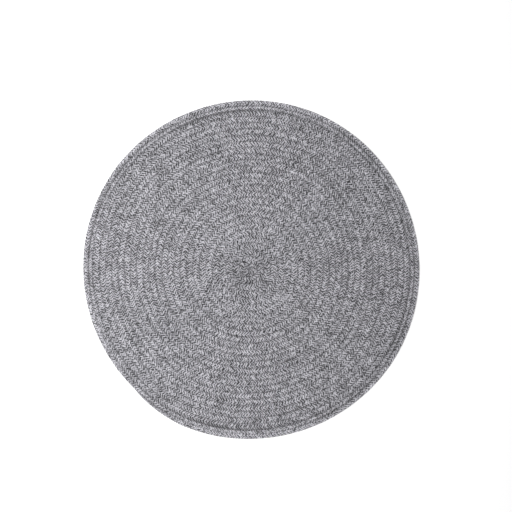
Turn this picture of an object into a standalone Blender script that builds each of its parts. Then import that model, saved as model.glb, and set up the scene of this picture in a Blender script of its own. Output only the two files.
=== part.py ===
"""Round placemat: one flat braided cord, wound as a spiral and sewn turn to turn into a disc.

Metres, +Z up. The mat lies flat with its underside at z = 0 and the middle of its outline at
the origin. +Y is the far side of the mat. Seen from above the cord winds outwards clockwise,
and its end tucks in against the turn before it at the near left.
"""
import math

import bmesh
import bpy
from mathutils import Vector

# Driving dimensions.
END_RADIUS = 0.1932          # spiral centre to the cord's outer edge, where the last turn ends
LAST_TURN_GROWTH = 0.0049    # how much the edge grows over the last turn
THICKNESS = 0.0045           # the braid's thickness, at the crown of a turn
GROOVE_DEPTH = 0.0012        # how far the sewn groove between two turns lies below the crown
SIDE_HEIGHT = 0.0021         # height of the widest point of the mat's rounded side
SIDE_TUCK = 0.0013           # how far the underside stays inside that widest point
TURNS = 27.2                 # turns of cord from the centre to the end
END_ANGLE = math.radians(-133.9)

# The first turns are wound more loosely: together they are wider by CENTRE_EXTRA.
CENTRE_EXTRA = 0.0077
CENTRE_TURNS = 4.0

# Width of the cord over the two turns of the rim, which are pulled narrower by their sewing.
RIM_TURNS = 3
RIM_WIDTHS = (
    # turns before the end, width
    (0.00, 0.0049),
    (0.25, 0.0056),
    (0.50, 0.0060),
    (0.90, 0.0060),
    (1.00, 0.0049),
    (1.10, 0.0046),
    (1.90, 0.0046),
    (2.00, 0.0067),
)

# The outline is a little out of round, with four shallow lobes.
LOBES = 4
LOBE_ANGLE = math.radians(60)
LOBE_SHARE = 0.0018          # height of a lobe, as a share of the radius

# The cord's section from one groove to the next: the shoulders carry a flat crown.
SECTION_ROWS = 3
SHOULDER_INSET = 0.28        # groove to shoulder, as a share of the cord's width
STEPS_PER_TURN = 60
WELD_DISTANCE = 0.00001
CREASE_ANGLE = math.radians(40)

HEATHER_GREY = (0.275, 0.271, 0.292, 1.0)

COLUMNS = round(TURNS * STEPS_PER_TURN)
FIRST_RIM_COLUMN = COLUMNS - STEPS_PER_TURN


def rim_width(turns_left):
    """Width of the cord in the rim, read between the rows of RIM_WIDTHS."""
    for (left_a, width_a), (left_b, width_b) in zip(RIM_WIDTHS, RIM_WIDTHS[1:]):
        if turns_left <= left_b:
            share = (turns_left - left_a) / (left_b - left_a)
            return width_a + share * (width_b - width_a)
    return RIM_WIDTHS[-1][1]


def rim_edge(turns_left):
    """Radius of the cord's outer edge in the rim turns."""
    if turns_left <= 1:
        return END_RADIUS - LAST_TURN_GROWTH * turns_left
    return rim_edge(turns_left - 1) - rim_width(turns_left - 1)


def centre_slack(turn):
    """How much wider the turns up to this one are than turns at the plain pitch."""
    return CENTRE_EXTRA * (1 - math.exp(-turn / CENTRE_TURNS))


BODY_TURNS = TURNS - RIM_TURNS
PITCH = (rim_edge(RIM_TURNS) - centre_slack(BODY_TURNS)) / BODY_TURNS


def edge_radius(turn):
    """Radius of the cord's outer edge, this many turns along it from the centre."""
    if turn <= 0:
        return 0.0
    if turn >= BODY_TURNS:
        return rim_edge(TURNS - turn)
    return PITCH * turn + centre_slack(turn)


def edge_height(column):
    """Height of the cord's outer edge: in a groove, or out on the mat's side."""
    if column >= FIRST_RIM_COLUMN:
        return SIDE_HEIGHT
    return THICKNESS - GROOVE_DEPTH


def cord_point(column, across):
    """A point of the cord's top: across is 0 at its inner edge and 1 at its outer edge."""
    turn = column / STEPS_PER_TURN
    inner = edge_radius(turn - 1)
    outer = edge_radius(turn)
    width = 0.0 if column == COLUMNS else outer - inner
    angle = END_ANGLE + 2 * math.pi * (TURNS - turn)
    lobe = 1 + LOBE_SHARE * math.cos(LOBES * (angle - LOBE_ANGLE))
    radius = (inner + width * across) * lobe

    base = edge_height(column - STEPS_PER_TURN) * (1 - across) + edge_height(column) * across
    fullness = min(1.0, width / (PITCH / 2)) if 0 < across < 1 else 0.0
    height = base + (THICKNESS - base) * fullness
    return Vector((radius * math.cos(angle), radius * math.sin(angle), height))


def outline_middle():
    """Middle of the box around the mat's outline, measured from the spiral's centre."""
    outline = [cord_point(column, 1.0) for column in range(FIRST_RIM_COLUMN, COLUMNS + 1)]
    lows = [min(point[axis] for point in outline) for axis in (0, 1)]
    highs = [max(point[axis] for point in outline) for axis in (0, 1)]
    return Vector(((lows[0] + highs[0]) / 2, (lows[1] + highs[1]) / 2, 0.0))


def wind_top(bm):
    """The ribbed top: a long strip laid along the spiral, each turn sewn to the last."""
    acrosses = (0.0, SHOULDER_INSET, 1 - SHOULDER_INSET, 1.0)
    bmesh.ops.create_grid(bm, x_segments=COLUMNS, y_segments=SECTION_ROWS, size=0.5)
    middle = outline_middle()
    for vert in bm.verts:
        column = round((vert.co.x + 0.5) * COLUMNS)
        row = round((vert.co.y + 0.5) * SECTION_ROWS)
        vert.co = cord_point(column, acrosses[row]) - middle
    bmesh.ops.remove_doubles(bm, verts=bm.verts, dist=WELD_DISTANCE)


def close_underside(bm):
    """The lower half of the rounded side, and the flat underside that the mat rests on."""
    rim = [edge for edge in bm.edges if edge.is_boundary]
    extruded = bmesh.ops.extrude_edge_only(bm, edges=rim)["geom"]
    lower_edges = [item for item in extruded if isinstance(item, bmesh.types.BMEdge)]
    lower_verts = [item for item in extruded if isinstance(item, bmesh.types.BMVert)]
    for vert in lower_verts:
        plan = Vector((vert.co.x, vert.co.y, 0.0))
        vert.co = plan - plan.normalized() * SIDE_TUCK
    bmesh.ops.contextual_create(bm, geom=[edge for edge in lower_edges if edge.is_boundary])
    bmesh.ops.recalc_face_normals(bm, faces=bm.faces)


def braid_material():
    """Heathered grey cotton braid."""
    material = bpy.data.materials.new("heather_grey_braid")
    material.use_nodes = True
    shader = material.node_tree.nodes["Principled BSDF"]
    shader.inputs["Base Color"].default_value = HEATHER_GREY
    shader.inputs["Roughness"].default_value = 0.95
    shader.inputs["Metallic"].default_value = 0.0
    return material


def build_mat():
    """The whole mat as one closed solid."""
    bm = bmesh.new()
    wind_top(bm)
    close_underside(bm)
    mesh = bpy.data.meshes.new("coiled_braid_mat")
    bm.to_mesh(mesh)
    bm.free()
    mesh.materials.append(braid_material())
    mesh.shade_smooth()
    mesh.set_sharp_from_angle(angle=CREASE_ANGLE)
    return bpy.data.objects.new("coiled_braid_mat", mesh)


for old in list(bpy.data.objects):
    bpy.data.objects.remove(old, do_unlink=True)

collection = bpy.data.collections.new("round_placemat")
bpy.context.scene.collection.children.link(collection)
collection.objects.link(build_mat())
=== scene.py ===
"""Finish of the round placemat: a heathered braid, wound as a spiral and sewn turn to turn.

The braid is a flat tube of six strands that pass over and under each other. Its relief is
worked out strand by strand, and the yarns of each strand are coloured along the same paths.
Lengths are in metres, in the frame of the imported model: +Z up, underside on z = 0.
"""
import math

import bmesh
import bpy
import numpy as np
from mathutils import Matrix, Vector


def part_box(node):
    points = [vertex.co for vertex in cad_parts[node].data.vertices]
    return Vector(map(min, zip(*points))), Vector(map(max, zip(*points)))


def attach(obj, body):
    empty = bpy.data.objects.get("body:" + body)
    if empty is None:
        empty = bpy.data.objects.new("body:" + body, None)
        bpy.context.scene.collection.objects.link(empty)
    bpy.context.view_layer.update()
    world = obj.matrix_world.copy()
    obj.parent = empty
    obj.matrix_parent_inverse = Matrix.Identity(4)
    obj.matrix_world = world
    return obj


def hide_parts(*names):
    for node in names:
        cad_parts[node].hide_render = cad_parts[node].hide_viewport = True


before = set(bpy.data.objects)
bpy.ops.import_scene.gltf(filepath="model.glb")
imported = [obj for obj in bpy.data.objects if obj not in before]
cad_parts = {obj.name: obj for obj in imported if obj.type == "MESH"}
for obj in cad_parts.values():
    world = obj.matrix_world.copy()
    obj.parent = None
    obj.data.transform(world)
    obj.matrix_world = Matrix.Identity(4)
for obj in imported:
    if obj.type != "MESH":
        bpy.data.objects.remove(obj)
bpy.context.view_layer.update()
NODE = "coiled_braid_mat"

# The spiral, as in the part's source.
END_RADIUS = 0.1932
LAST_TURN_GROWTH = 0.0049
TURNS = 27.2
END_ANGLE = math.radians(-133.9)
CENTRE_EXTRA = 0.0077
CENTRE_TURNS = 4.0
RIM_TURNS = 3
RIM_WIDTHS = (
    # turns before the end, width
    (0.00, 0.0049),
    (0.25, 0.0056),
    (0.50, 0.0060),
    (0.90, 0.0060),
    (1.00, 0.0049),
    (1.10, 0.0046),
    (1.90, 0.0046),
    (2.00, 0.0067),
)
LOBES = 4
LOBE_ANGLE = math.radians(60)
LOBE_SHARE = 0.0018

# The braid. A repeat is the length along it from one strand to the next in a column, and the
# columns of strands run round the tube: column 0 is its top.
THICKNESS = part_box(NODE)[1][2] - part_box(NODE)[0][2]
REPEAT = 0.00314
REPEAT_DRIFT = 0.06             # how much the length of a repeat varies, as a share
DRIFT_SPACING = 12              # and after how many repeats
COLUMNS = 6
LEAN = 0.5                      # repeats that a strand advances as it crosses a column
OVER = 0.00025                  # how far a strand rises over, and dips under, its neighbours
STRAND_ROUND = 0.00049          # depth of the gap between two strands
STRAND_SHARE = 0.98             # and how nearly a strand's sides reach that depth
SWELL = 0.2                     # how much the strands differ in thickness, as a share
SWELL_SPACING = 2.5             # and after how many repeats
HEIGHT_DRIFT = 0.02             # how much the cord's height varies, as a share
HEIGHT_SPACING = 9
ROLL = 3.0                      # how far the tube rolls over to its sides, in columns
ROLL_SPACING = 60
SIDE_COLUMN = 0.29 * COLUMNS    # the column where the upper half of the tube meets the lower
SQUARENESS = 0.95               # 1 is an elliptic section, less is a squarer one
OUTWARD = 0.6                   # how far the relief at the tube's sides points sideways
PRESSED = 1.03                  # width of the braid over its pitch: turns press together
START_TAPER = 0.25              # turns over which the cord's start thickens
END_TAPER = 19 / 360            # turns over which the cord's end narrows to nothing
END_SHAPE = 0.6                 # and the power that its width falls by

# Seeds of the random hills.
DRIFT_SEED = 11
SWELL_SEED = 21
HEIGHT_SEED = 31
ROLL_SEED = 41
DASH_SEED = 51
FIRST_GROOVE_SEED = 237
SECOND_GROOVE_SEED = 80

# The mesh.
STEPS_PER_REPEAT = 5
UPPER_ROWS = 12
LOWER_ROWS = 3
UPPER_NAMES = ("centre_turns", "inner_turns", "outer_turns", "rim_turns")
SPIRAL_POINTS = 60000           # points that the spiral's length is added up from
SECTION_POINTS = 2001           # points round the cord's section
OUTLINE_POINTS = 61             # and round the last turn
WELD_DISTANCE = 0.00001
BAND_WIDTH = 0.010              # width of the surface, laid flat in bands for the baked map
BAND_MARGIN = 0.04              # gap on each side of a band, as a share of it
BAND_END = 0.002                # and at its ends

# How light the cord is by where it lies: its tone, with painted shade and a painted highlight.
CENTRE_DARK = 0.18              # how much darker the middle of the mat is
CENTRE_DARK_RADIUS = 0.024
CENTRE_DARK_REACH = 1.6         # in radii, where the dark has faded out
BODY_FROM = (4, 10)             # turns over which the INNER_ values give way to the others
GROOVE_PAINTED_SHADE = 0.16              # painted shade: how much darker the cord is beside the sewn grooves
INNER_GROOVE_PAINTED_SHADE = 0.02        # and near the centre, where they are wide and light
GROOVE_POWER = 3.57             # how fast the dark fades away from a groove
DASH = 0.98                     # how much a groove's painted shade varies along it, as a share
DASH_SPACING = 1.60             # in repeats
CREASE_PAINTED_SHADE = 0.035             # painted shade: how much darker the cord is along the faint crease in it
INNER_CREASE_PAINTED_SHADE = 0.08        # and near the centre
CREASE_AT = 0.15                # how far out of the middle it lies, in half widths of the cord
CREASE_REACH = 0.25             # and how far its dark reaches, in the same
FLANK_PAINTED_HIGHLIGHT = 0.30                # painted highlight: how much lighter the outer flank of the last turn is
RIM_TURNS_LIGHT = 0.07          # how much lighter the last two turns are
FIRST_GROOVE_DARK = 0.03        # how much darker the groove between the last two turns is
FIRST_GROOVE_VARIES = 0.35      # and how much that changes along it
SECOND_GROOVE_DARK = 0.22       # and the same for the groove inside it
SECOND_GROOVE_VARIES = 0.20
GROOVE_VARIES_SPACING = 26      # in repeats
NARROW_SHADOW = 0.5             # reach of those two in the narrow turn between them,
WIDE_SHADOW = 0.85              # and in the wide ones, in half widths of the cord
SHADOW_WIDENS = 0.3             # how much wider the second's is where it is darker, as a share
SHADOW_POWER = 4                # how sharply a shadow ends
TIP_LIGHT = 0.25                # how much lighter the cut fibres at the cord's end are, and the
TIP_LENGTH = 0.02               # turn beside them, and over how many turns

# The yarns. Their tone is a sum of patterns, from dark at -1 to light at 1.
DARK = 0.0218
LIGHT = 0.436
TINT = (1.0, 0.988, 1.063)      # a faint violet
YARN_PAIRS = 1.08               # light and dark yarns side by side in a strand, in pairs
TWIST_TONE = 0.94               # weight of their light and dark in the sum
TWIST_TURNS = 0.05              # turns of the yarns round each other, in a column
HAND_TURNS = 0.24               # and what a strand's hand adds to them, or takes away
WANDER = 0.48                   # how far the yarns change sides along a strand, in pairs
WANDER_ALONG = 0.37             # and how often, in a column
FLOAT_TURNS = 0.55              # how far the yarns are turned from one float to the next
FLOAT_TONE = 0.60               # how much one float differs from the next
FLECK_TONE = 2.39               # weight of the flecks
FLECKS_ACROSS = 1.01            # flecks across a strand
FLECKS_ALONG = 2.12             # flecks along it, in a column
FLECK_DETAIL = 2.0
FLECK_ROUGHNESS = 0.81
FIBRE_SHADE = 0.70              # fine fibres, seen from near
FIBRES_ACROSS = 14
FIBRES_ALONG = 1.2
FIBRE_DETAIL = 2.0
PATCH_TONE = 0.65               # patches of a few strands
PATCH_ALONG = 0.39              # patches in a repeat
PATCH_ACROSS = 0.84             # and in a column
CLUSTER_SHADE = 0.33            # lighter and darker stretches of the whole cord
CLUSTER_ALONG = 0.27
CLUSTER_ACROSS = 0.12
MOTTLE_SHADE = 0.32             # mottling of the mat, across its turns
MOTTLE_SIZE = 0.0138
MOTTLE_DETAIL = 3.0
PATCH_SLICE = 0.0               # where the patterns on the braid's map cut the noise, so that
WANDER_SLICE = 2.0              # none repeats another
CLUSTER_SLICE = 9.0
NEXT_STRAND = 7.3               # step in a noise from one strand to the next
HANDS_APART = 50                # and from strands of one hand to those of the other
EDGE_FROM = 0.43                # where the painted shade at a strand's edges begins, half a strand being 0.5
EDGE_PAINTED_SHADE = 0.21
COTTON = {
    "Roughness": 0.92,
    "Specular IOR Level": 0.25,
    "Sheen Weight": 0.12,
    "Sheen Roughness": 0.5,
}

# The floor, the camera and the light. The photograph is PICTURE pixels square, the mat's scale
# in it is PIXEL metres a pixel, and the spiral's centre lies at CENTRE_X, CENTRE_Y in it.
FLOOR_SIZE = 3.0
FLOOR_DROP = 0.0002             # kept clear of the mat's underside
FLOOR = {"Base Color": (0.98, 0.98, 0.98, 1), "Roughness": 0.9}
PICTURE = 512
PIXEL = 0.001131
CENTRE_X = 250.18
CENTRE_Y = 268.61
CAMERA_HEIGHT = 1.6
SENSOR_WIDTH = 36
SOFTBOX_PLACE = (-0.3, 0.05, 1.7)
SOFTBOX_SIZE = 0.9
SOFTBOX_TURN = math.radians(60)  # away to the left, so that its light falls off rightwards
SOFTBOX_POWER = 60.5
ROOM_LIGHT = 0.67


def rim_width(turns_left):
    """Width of the cord in the rim, read between the rows of RIM_WIDTHS."""
    left, width = zip(*RIM_WIDTHS)
    return np.interp(turns_left, left, width)


def rim_edge(turns_left):
    """Radius of the cord's outer edge in the rim turns."""
    whole = np.clip(np.floor(turns_left), 0, RIM_TURNS)
    part = turns_left - whole
    edge = END_RADIUS - LAST_TURN_GROWTH * part
    for turn in range(RIM_TURNS):
        edge = edge - np.where(whole > turn, rim_width(part + turn), 0)
    return edge


def centre_slack(turn):
    """How much wider the turns up to this one are than turns at the plain pitch."""
    return CENTRE_EXTRA * (1 - np.exp(-turn / CENTRE_TURNS))


BODY_TURNS = TURNS - RIM_TURNS
PITCH = (rim_edge(float(RIM_TURNS)) - centre_slack(BODY_TURNS)) / BODY_TURNS


def edge_radius(turn):
    """Radius of the cord's outer edge, this many turns along it from the centre."""
    turn = np.maximum(turn, 0.0)
    body = PITCH * turn + centre_slack(turn)
    return np.where(turn >= BODY_TURNS, rim_edge(TURNS - turn), body)


def turn_angle(turn):
    """Direction from the centre, this many turns along the cord."""
    return END_ANGLE + 2 * math.pi * (TURNS - turn)


def lobe(angle):
    """The outline's shallow lobes, as a share of the radius."""
    return 1 + LOBE_SHARE * np.cos(LOBES * (angle - LOBE_ANGLE))


def outline_middle():
    """Middle of the box around the mat's outline, measured from the spiral's centre."""
    turn = np.linspace(TURNS - 1, TURNS, OUTLINE_POINTS)
    radius = edge_radius(turn) * lobe(turn_angle(turn))
    radius[-1] = radius[0]
    x = radius * np.cos(turn_angle(turn))
    y = radius * np.sin(turn_angle(turn))
    return np.array(((x.min() + x.max()) / 2, (y.min() + y.max()) / 2))


MIDDLE = outline_middle()


def smooth_noise(places, spacing, seed):
    """Soft random hills between -1 and 1, one every spacing or so, the same in every piece."""
    share = places / spacing
    at = share.astype(int)
    heights = np.random.default_rng(seed).uniform(-1, 1, at.max() + 2)
    ease = share - at
    ease = ease * ease * (3 - 2 * ease)
    return heights[at] * (1 - ease) + heights[at + 1] * ease


def steps_along():
    """The turn of each step along the cord, the repeats up to it, and the cord's length."""
    turn = np.linspace(0, TURNS, SPIRAL_POINTS)
    middle = (edge_radius(turn) + edge_radius(turn - 1)) / 2
    x = middle * np.cos(turn_angle(turn))
    y = middle * np.sin(turn_angle(turn))
    length = np.concatenate(([0], np.cumsum(np.hypot(np.diff(x), np.diff(y)))))
    drift = 1 + REPEAT_DRIFT * smooth_noise(length / REPEAT, DRIFT_SPACING, DRIFT_SEED)
    repeats = np.concatenate(([0], np.cumsum(np.diff(length) / (REPEAT * drift[1:]))))
    pieces = len(UPPER_NAMES)
    whole = pieces * int(repeats[-1] // pieces)
    repeats *= whole / repeats[-1]
    braid = np.arange(whole * STEPS_PER_REPEAT + 1) / STEPS_PER_REPEAT
    return np.interp(braid, repeats, turn), braid, float(length[-1])


STEP_TURNS, STEP_BRAID, CORD_LENGTH = steps_along()


def section(column):
    """A point of the flattened round section, and its outward direction, with half width and
    half height 1. Column 0 is the top and half of COLUMNS the bottom."""
    angle = np.linspace(-math.pi, math.pi, SECTION_POINTS)
    x = np.sign(np.sin(angle)) * np.abs(np.sin(angle)) ** SQUARENESS
    z = np.sign(np.cos(angle)) * np.abs(np.cos(angle)) ** SQUARENESS
    flat = PITCH / THICKNESS
    length = np.concatenate(([0], np.cumsum(np.hypot(np.diff(x) * flat, np.diff(z)))))
    place = (length / length[-1] - 0.5) * COLUMNS
    wrapped = (column + COLUMNS / 2) % COLUMNS - COLUMNS / 2
    at_x = np.interp(wrapped, place, x)
    at_z = np.interp(wrapped, place, z)
    out = np.stack((at_x * OUTWARD, at_z * np.abs(at_z)), -1)
    return at_x, at_z, out / np.linalg.norm(out, axis=-1, keepdims=True)


def strand_relief(braid, column):
    """Height of the braid's surface over its plain section, strands passing over and under."""
    over = OVER * np.cos(math.pi * column)
    heights = []
    for hand, seed in ((1, SWELL_SEED), (-1, SWELL_SEED + 1)):
        lean = braid + hand * LEAN * column
        across = 2 * STRAND_SHARE * (lean - np.floor(lean + 0.5))
        bulge = STRAND_ROUND * (1 + SWELL * smooth_noise(braid, SWELL_SPACING, seed))
        heights.append(hand * over - STRAND_ROUND + bulge * np.sqrt(1 - across ** 2))
    return np.maximum(*heights)


def before_end(turn):
    """1 along the cord, and down to 0 over the taper at its end."""
    return np.clip((TURNS - turn) / END_TAPER, 0, 1)


def fullness(turn):
    """Thickness of the cord as a share of its whole: it thins out at the start and the end."""
    started = np.clip(turn / START_TAPER, 0, 1)
    return np.sqrt(1 - (1 - started) ** 2) * np.sqrt(1 - (1 - before_end(turn)) ** 2)


def braid_places(turn, braid, column):
    """Where points of the braid lie, how far its tube has rolled there, and how far across the
    cord they are, from -1 at its inner to 1 at its outer edge."""
    inner = edge_radius(turn - 1)
    full = fullness(turn)
    half_width = (edge_radius(turn) - inner) / 2 * before_end(turn) ** END_SHAPE
    drift = 1 + HEIGHT_DRIFT * smooth_noise(braid, HEIGHT_SPACING, HEIGHT_SEED)
    half_height = (THICKNESS - OVER) / 2 * full * drift
    rolled = column + ROLL * smooth_noise(braid, ROLL_SPACING, ROLL_SEED)
    relief = strand_relief(braid, rolled) * full
    across, up, out = section(column)
    angle = turn_angle(turn)
    radius = (inner + half_width) * lobe(angle)
    radius = radius + (across * half_width * PRESSED + out[:, 0] * relief) * np.sign(full)
    height = np.maximum(half_height * (1 + up) + out[:, 1] * relief, 0.0)
    x = radius * np.cos(angle) - MIDDLE[0]
    y = radius * np.sin(angle) - MIDDLE[1]
    return np.stack((x, y, height), -1), rolled, across


def centre_shade(turn):
    """The slightly darker middle of the mat, as a factor. So are the next ones."""
    radius = (edge_radius(turn) + edge_radius(turn - 1)) / 2
    return 1 - CENTRE_DARK * np.clip(CENTRE_DARK_REACH - radius / CENTRE_DARK_RADIUS, 0, 1)


def seam_along(turn, across):
    """Repeats up to the sewn groove beside a point, the same from both sides of the groove."""
    return np.interp(np.where(across > 0, turn, turn - 1), STEP_TURNS, STEP_BRAID)


def near(distance, reach):
    """1 beside a line, and down to 0 around its reach."""
    return np.exp(-((distance / reach) ** SHADOW_POWER))


def rim_shadow(turn, across):
    """The dark beside the rim's two grooves, the last turns' own, uneven along them."""
    left = TURNS - turn
    last = left < 1
    second = (left >= 1) & (left < 2)
    third = (left >= 2) & (left < 3)
    seam = seam_along(turn, across)
    first_varies = smooth_noise(seam, GROOVE_VARIES_SPACING, FIRST_GROOVE_SEED)
    second_varies = smooth_noise(seam, GROOVE_VARIES_SPACING, SECOND_GROOVE_SEED)
    first_dark = FIRST_GROOVE_DARK + FIRST_GROOVE_VARIES * first_varies
    second_dark = SECOND_GROOVE_DARK + SECOND_GROOVE_VARIES * second_varies
    reach = WIDE_SHADOW * (1 + SHADOW_WIDENS * second_varies)
    to_outer, to_inner = 1 - across, 1 + across
    beside_first = second * near(to_outer, NARROW_SHADOW) + last * near(to_inner, WIDE_SHADOW)
    beside_second = second * near(to_inner, NARROW_SHADOW) + third * near(to_outer, reach)
    return 1 - first_dark * beside_first - second_dark * beside_second


def rim_tone_and_painted_highlight(turn, across):
    """The lighter rim: a painted highlight on the last turn's outer flank, and the lighter last
    two turns and cut end.
    """
    left = TURNS - turn
    # painted highlight on the outer flank of the last turn, which faces out
    flank = FLANK_PAINTED_HIGHLIGHT * np.clip(across, 0, 1) * (left < 1)
    tip = (left % 1 < TIP_LENGTH) * (left < 1 + TIP_LENGTH)
    return (1 + flank + RIM_TURNS_LIGHT * (left < 2)) * (1 + TIP_LIGHT * tip)


def painted_groove_shade(turn, across):
    """Painted shade beside the sewn grooves, in dashes that the turns on both sides share."""
    depth = np.interp(turn, BODY_FROM, (INNER_GROOVE_PAINTED_SHADE, GROOVE_PAINTED_SHADE))
    dashes = 1 + DASH * smooth_noise(seam_along(turn, across), DASH_SPACING, DASH_SEED)
    return 1 - depth * dashes * np.abs(across) ** GROOVE_POWER


def painted_crease_shade(turn, across):
    """Painted shade along the faint crease in the middle of the cord."""
    depth = np.interp(turn, BODY_FROM, (INNER_CREASE_PAINTED_SHADE, CREASE_PAINTED_SHADE))
    return 1 - depth * near(across - CREASE_AT, CREASE_REACH)


def place_tone_and_painted_light(turn, across):
    """How light the cord is by where it lies: its tone, with painted shade and a painted
    highlight.
    """
    rim = rim_tone_and_painted_highlight(turn, across) * rim_shadow(turn, across)
    return centre_shade(turn) * rim * painted_groove_shade(turn, across) * painted_crease_shade(turn, across)


def banded(step, steps, share):
    """The map that the surface is baked through: its length cut into bands that fill a square.
    Each row of step and share is a face."""
    length = CORD_LENGTH * steps / (len(STEP_TURNS) - 1)
    bands = max(1, round(math.sqrt(length / BAND_WIDTH)))
    steps_in_band = math.ceil(steps / bands)
    band = step.min(axis=1, keepdims=True) // steps_in_band
    along = (step - band * steps_in_band) / steps_in_band
    along = BAND_END + (1 - 2 * BAND_END) * along
    high = (band + BAND_MARGIN + (1 - 2 * BAND_MARGIN) * share) / bands
    return np.stack((along, high), -1)


def add_map(mesh, name, places):
    """A UV map, with a place for each corner of a face."""
    layer = mesh.uv_layers.new(name=name, do_init=False)
    layer.uv.foreach_set("vector", places.astype("f").ravel())


def braid_surface(name, first, last, low_column, high_column, rows):
    """A length of the braid's surface, between two steps along it and two columns."""
    steps = last - first
    bm = bmesh.new()
    bmesh.ops.create_grid(bm, x_segments=steps, y_segments=rows, size=0.5)
    mesh = bpy.data.meshes.new(name)
    bm.to_mesh(mesh)
    grid = np.empty(len(mesh.vertices) * 3)
    mesh.vertices.foreach_get("co", grid)
    grid = grid.reshape(-1, 3)
    step = np.rint((grid[:, 0] + 0.5) * steps).astype(int)
    share = grid[:, 1] + 0.5
    turn = STEP_TURNS[first + step]
    braid = STEP_BRAID[first + step]
    column = low_column + (high_column - low_column) * share
    places, rolled, across = braid_places(turn, braid, column)
    mesh.vertices.foreach_set("co", places.ravel())

    corners = np.empty(len(mesh.loops), np.int32)
    mesh.loops.foreach_get("vertex_index", corners)
    add_map(mesh, "Braid", np.stack((braid, rolled), -1)[corners])
    faces = corners.reshape(-1, 4)
    add_map(mesh, "OFBake", banded(step[faces], steps, share[faces]))
    tone = mesh.attributes.new("place_tone_and_painted_light", "FLOAT", "POINT")
    tone.data.foreach_set("value", place_tone_and_painted_light(turn, across).astype("f"))

    bm.clear()
    bm.from_mesh(mesh)
    bm.verts.ensure_lookup_table()
    tips = [bm.verts[index] for index in np.flatnonzero(fullness(turn) == 0)]
    bmesh.ops.remove_doubles(bm, verts=tips, dist=WELD_DISTANCE)
    bm.to_mesh(mesh)
    bm.free()
    mesh.update()
    mesh.shade_smooth()
    piece = bpy.data.objects.new(name, mesh)
    bpy.context.scene.collection.objects.link(piece)
    return piece


class Wire:
    """A number in a material's node tree. Sums on it add Math nodes."""

    def __init__(self, desk, socket):
        self.desk = desk
        self.socket = socket

    def math(self, operation, *others):
        values = dict(enumerate((self, *others)))
        return self.desk.wire("ShaderNodeMath", {"operation": operation}, values)

    def __add__(self, other):
        return self.math("ADD", other)

    def __sub__(self, other):
        return self.math("SUBTRACT", other)

    def __rsub__(self, other):
        return self.desk.wire("ShaderNodeMath", {"operation": "SUBTRACT"}, {0: other, 1: self})

    def __mul__(self, other):
        return self.math("MULTIPLY", other)

    def __gt__(self, other):
        return self.math("GREATER_THAN", other)

    __radd__ = __add__
    __rmul__ = __mul__


class Desk:
    """A material and its node tree."""

    def __init__(self, name):
        self.material = bpy.data.materials.new(name)
        self.material.use_nodes = True
        self.tree = self.material.node_tree
        self.shader = self.tree.nodes["Principled BSDF"]

    def feed(self, socket, value):
        """Links a wire to a socket, or sets the socket to a plain value."""
        if isinstance(value, Wire):
            self.tree.links.new(value.socket, socket)
        else:
            socket.default_value = value

    def wire(self, kind, settings=None, values=None, output=0):
        """A new node's output. settings are its properties, and values its sockets'."""
        node = self.tree.nodes.new(kind)
        for key, value in (settings or {}).items():
            setattr(node, key, value)
        for key, value in (values or {}).items():
            self.feed(node.inputs[key], value)
        return Wire(self, node.outputs[output])

    def finish(self, values):
        """Sets inputs of the material's shader."""
        for name, value in values.items():
            self.feed(self.shader.inputs[name], value)

    def vector(self, x, y, z):
        return self.wire("ShaderNodeCombineXYZ", values={0: x, 1: y, 2: z})

    def noise(self, vector, scale=1.0, detail=1.0, roughness=0.5):
        """Noise centred on nought, mostly between -1 and 1."""
        values = {"Vector": vector, "Scale": scale, "Detail": detail, "Roughness": roughness}
        return (self.wire("ShaderNodeTexNoise", values=values) - 0.5) * 2.0

    def chance(self, x, y, z):
        """A random number between -0.5 and 0.5, a new one for each set of whole numbers."""
        values = {"Vector": self.vector(x, y, z)}
        return self.wire("ShaderNodeTexWhiteNoise", values=values) - 0.5

    def ramp(self, value, low, high):
        """0 below low and 1 above high, with an eased rise between."""
        settings = {"interpolation_type": "SMOOTHSTEP"}
        return self.wire("ShaderNodeMapRange", settings, {0: value, 1: low, 2: high})


def strand_on_top(braid, column):
    """The strand seen at a point of the braid: how far across it the point lies, from -0.5 to
    0.5, the strand's number, and its hand, 1 or -1, which is the way it leans."""
    over = (column * math.pi).math("COSINE") * OVER
    seen = []
    for hand in (1, -1):
        lean = braid + column * (hand * LEAN)
        number = (lean + 0.5).math("FLOOR")
        across = lean - number
        fall = across * across * (2 * STRAND_SHARE) ** 2
        height = over * hand + (1 - fall).math("SQRT") * STRAND_ROUND
        seen.append((across, number + hand * HANDS_APART, height))
    (across_a, number_a, height_a), (across_b, number_b, height_b) = seen
    on_a = height_a > height_b
    across = across_b + on_a * (across_a - across_b)
    number = number_b + on_a * (number_a - number_b)
    return across, number, on_a * 2.0 - 1.0


def wave(cycles):
    """A cosine wave, after this many cycles."""
    return (cycles * (2 * math.pi)).math("COSINE")


def yarn_tone(desk, across, number, hand, column):
    """Light and dark yarns side by side in a strand, turned and changing sides, and flecked."""
    float_at = (column + 0.5).math("FLOOR")
    wander = desk.noise(desk.vector(number * NEXT_STRAND, column * WANDER_ALONG, WANDER_SLICE))
    turned = column * TWIST_TURNS + column * hand * HAND_TURNS + wander * WANDER
    turned = turned + desk.chance(number, float_at, hand) * FLOAT_TURNS
    twist = wave(across * YARN_PAIRS + turned)
    at = desk.vector(across * FLECKS_ACROSS, column * FLECKS_ALONG, number * NEXT_STRAND)
    fleck = desk.noise(at, detail=FLECK_DETAIL, roughness=FLECK_ROUGHNESS)
    chance = desk.chance(float_at, hand, number)
    return twist * TWIST_TONE + fleck * FLECK_TONE + chance * FLOAT_TONE


def fibres(desk, across, number, column):
    """Fine fibres along the strands, as a factor."""
    at = desk.vector(across * FIBRES_ACROSS, column * FIBRES_ALONG, number * NEXT_STRAND)
    return 1 + desk.noise(at, detail=FIBRE_DETAIL) * FIBRE_SHADE


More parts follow.
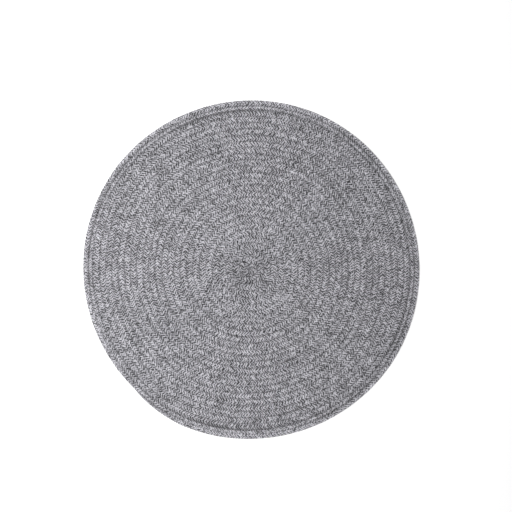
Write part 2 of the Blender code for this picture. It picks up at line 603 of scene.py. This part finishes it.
def mottled(desk, braid, column):
    """Lighter and darker stretches of the cord, and larger mottling of the mat, as a factor."""
    at = desk.vector(braid * CLUSTER_ALONG, column * CLUSTER_ACROSS, CLUSTER_SLICE)
    cluster = desk.noise(at)
    on_mat = desk.wire("ShaderNodeTexCoord", output="Object")
    mottle = desk.noise(on_mat, 1 / MOTTLE_SIZE, MOTTLE_DETAIL)
    return 1 + cluster * CLUSTER_SHADE + mottle * MOTTLE_SHADE


def heather_braid():
    """Marled cotton yarns, light and dark, laid side by side in the strands of the braid."""
    desk = Desk("heather_braid")
    on_braid = desk.wire("ShaderNodeUVMap", {"uv_map": "Braid"})
    braid = desk.wire("ShaderNodeSeparateXYZ", values={0: on_braid}, output="X")
    column = desk.wire("ShaderNodeSeparateXYZ", values={0: on_braid}, output="Y")
    across, number, hand = strand_on_top(braid, column)
    patch = desk.noise(desk.vector(braid * PATCH_ALONG, column * PATCH_ACROSS, PATCH_SLICE))
    tone = patch * PATCH_TONE + yarn_tone(desk, across, number, hand, column)
    dark, light = ([level * share for share in TINT] + [1] for level in (DARK, LIGHT))
    # A Mix node's colours go in at 6 and 7, and the mixed one comes out at 2.
    mixed = {0: desk.ramp(tone, -1.0, 1.0), 6: dark, 7: light}
    colour = desk.wire("ShaderNodeMix", {"data_type": "RGBA"}, mixed, output=2)
    # painted shade in the crevice where a strand's edge drops under its neighbour
    edge = desk.ramp(across.math("ABSOLUTE"), EDGE_FROM, 0.5)
    # the tone by place, with the painted shade of grooves, crease and rim and the rim's painted
    # highlight
    by_place = desk.wire("ShaderNodeAttribute", {"attribute_name": "place_tone_and_painted_light"}, output="Fac")
    shade = (1 - edge * EDGE_PAINTED_SHADE) * by_place * mottled(desk, braid, column)
    shade = shade * fibres(desk, across, number, column)
    colour = desk.wire("ShaderNodeVectorMath", {"operation": "SCALE"}, {0: colour, 3: shade})
    desk.finish({"Base Color": colour, **COTTON})
    return desk.material


def build_mat():
    """The upper half of the braid in lengths, and its lower half, which lies on the table."""
    finish = heather_braid()
    last = len(STEP_BRAID) - 1
    cuts = [round(last * at / len(UPPER_NAMES)) for at in range(len(UPPER_NAMES) + 1)]
    uppers = [
        braid_surface(name, start, end, -SIDE_COLUMN, SIDE_COLUMN, UPPER_ROWS)
        for name, start, end in zip(UPPER_NAMES, cuts, cuts[1:])
    ]
    lower = braid_surface("underside", 0, last, SIDE_COLUMN, COLUMNS - SIDE_COLUMN, LOWER_ROWS)
    for piece in (*uppers, lower):
        piece.data.materials.append(finish)
        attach(piece, "root")
        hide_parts(NODE)


def build_floor():
    mesh = bpy.data.meshes.new("floor")
    bm = bmesh.new()
    bmesh.ops.create_grid(bm, x_segments=1, y_segments=1, size=FLOOR_SIZE)
    bmesh.ops.translate(bm, verts=bm.verts, vec=(0, 0, -FLOOR_DROP))
    bm.to_mesh(mesh)
    bm.free()
    floor = bpy.data.objects.new("floor", mesh)
    bpy.context.scene.collection.objects.link(floor)
    desk = Desk("pale_floor")
    desk.finish(FLOOR)
    floor.data.materials.append(desk.material)


def place_camera():
    """Straight above, with the spiral's centre where the photograph shows it."""
    data = bpy.data.cameras.new("camera")
    data.sensor_width = SENSOR_WIDTH
    data.lens = SENSOR_WIDTH * CAMERA_HEIGHT / (PICTURE * PIXEL)
    camera = bpy.data.objects.new("camera", data)
    right = (PICTURE / 2 - CENTRE_X) * PIXEL
    up = (CENTRE_Y - PICTURE / 2) * PIXEL
    camera.location = (right - MIDDLE[0], up - MIDDLE[1], CAMERA_HEIGHT + THICKNESS / 2)
    bpy.context.scene.collection.objects.link(camera)
    bpy.context.scene.camera = camera


def place_lights():
    """One large softbox over the mat's left, and a white room."""
    lamp = bpy.data.lights.new("softbox", "AREA")
    lamp.shape = "SQUARE"
    lamp.size = SOFTBOX_SIZE
    lamp.energy = SOFTBOX_POWER
    softbox = bpy.data.objects.new("softbox", lamp)
    softbox.location = SOFTBOX_PLACE
    softbox.rotation_euler.y = SOFTBOX_TURN
    bpy.context.scene.collection.objects.link(softbox)
    world = bpy.data.worlds.new("studio")
    bpy.context.scene.world = world
    world.use_nodes = True
    background = world.node_tree.nodes["Background"]
    background.inputs["Color"].default_value = (1, 1, 1, 1)
    background.inputs["Strength"].default_value = ROOM_LIGHT
    bpy.context.scene.view_settings.view_transform = "Standard"


place_camera()
build_mat()
build_floor()
place_lights()
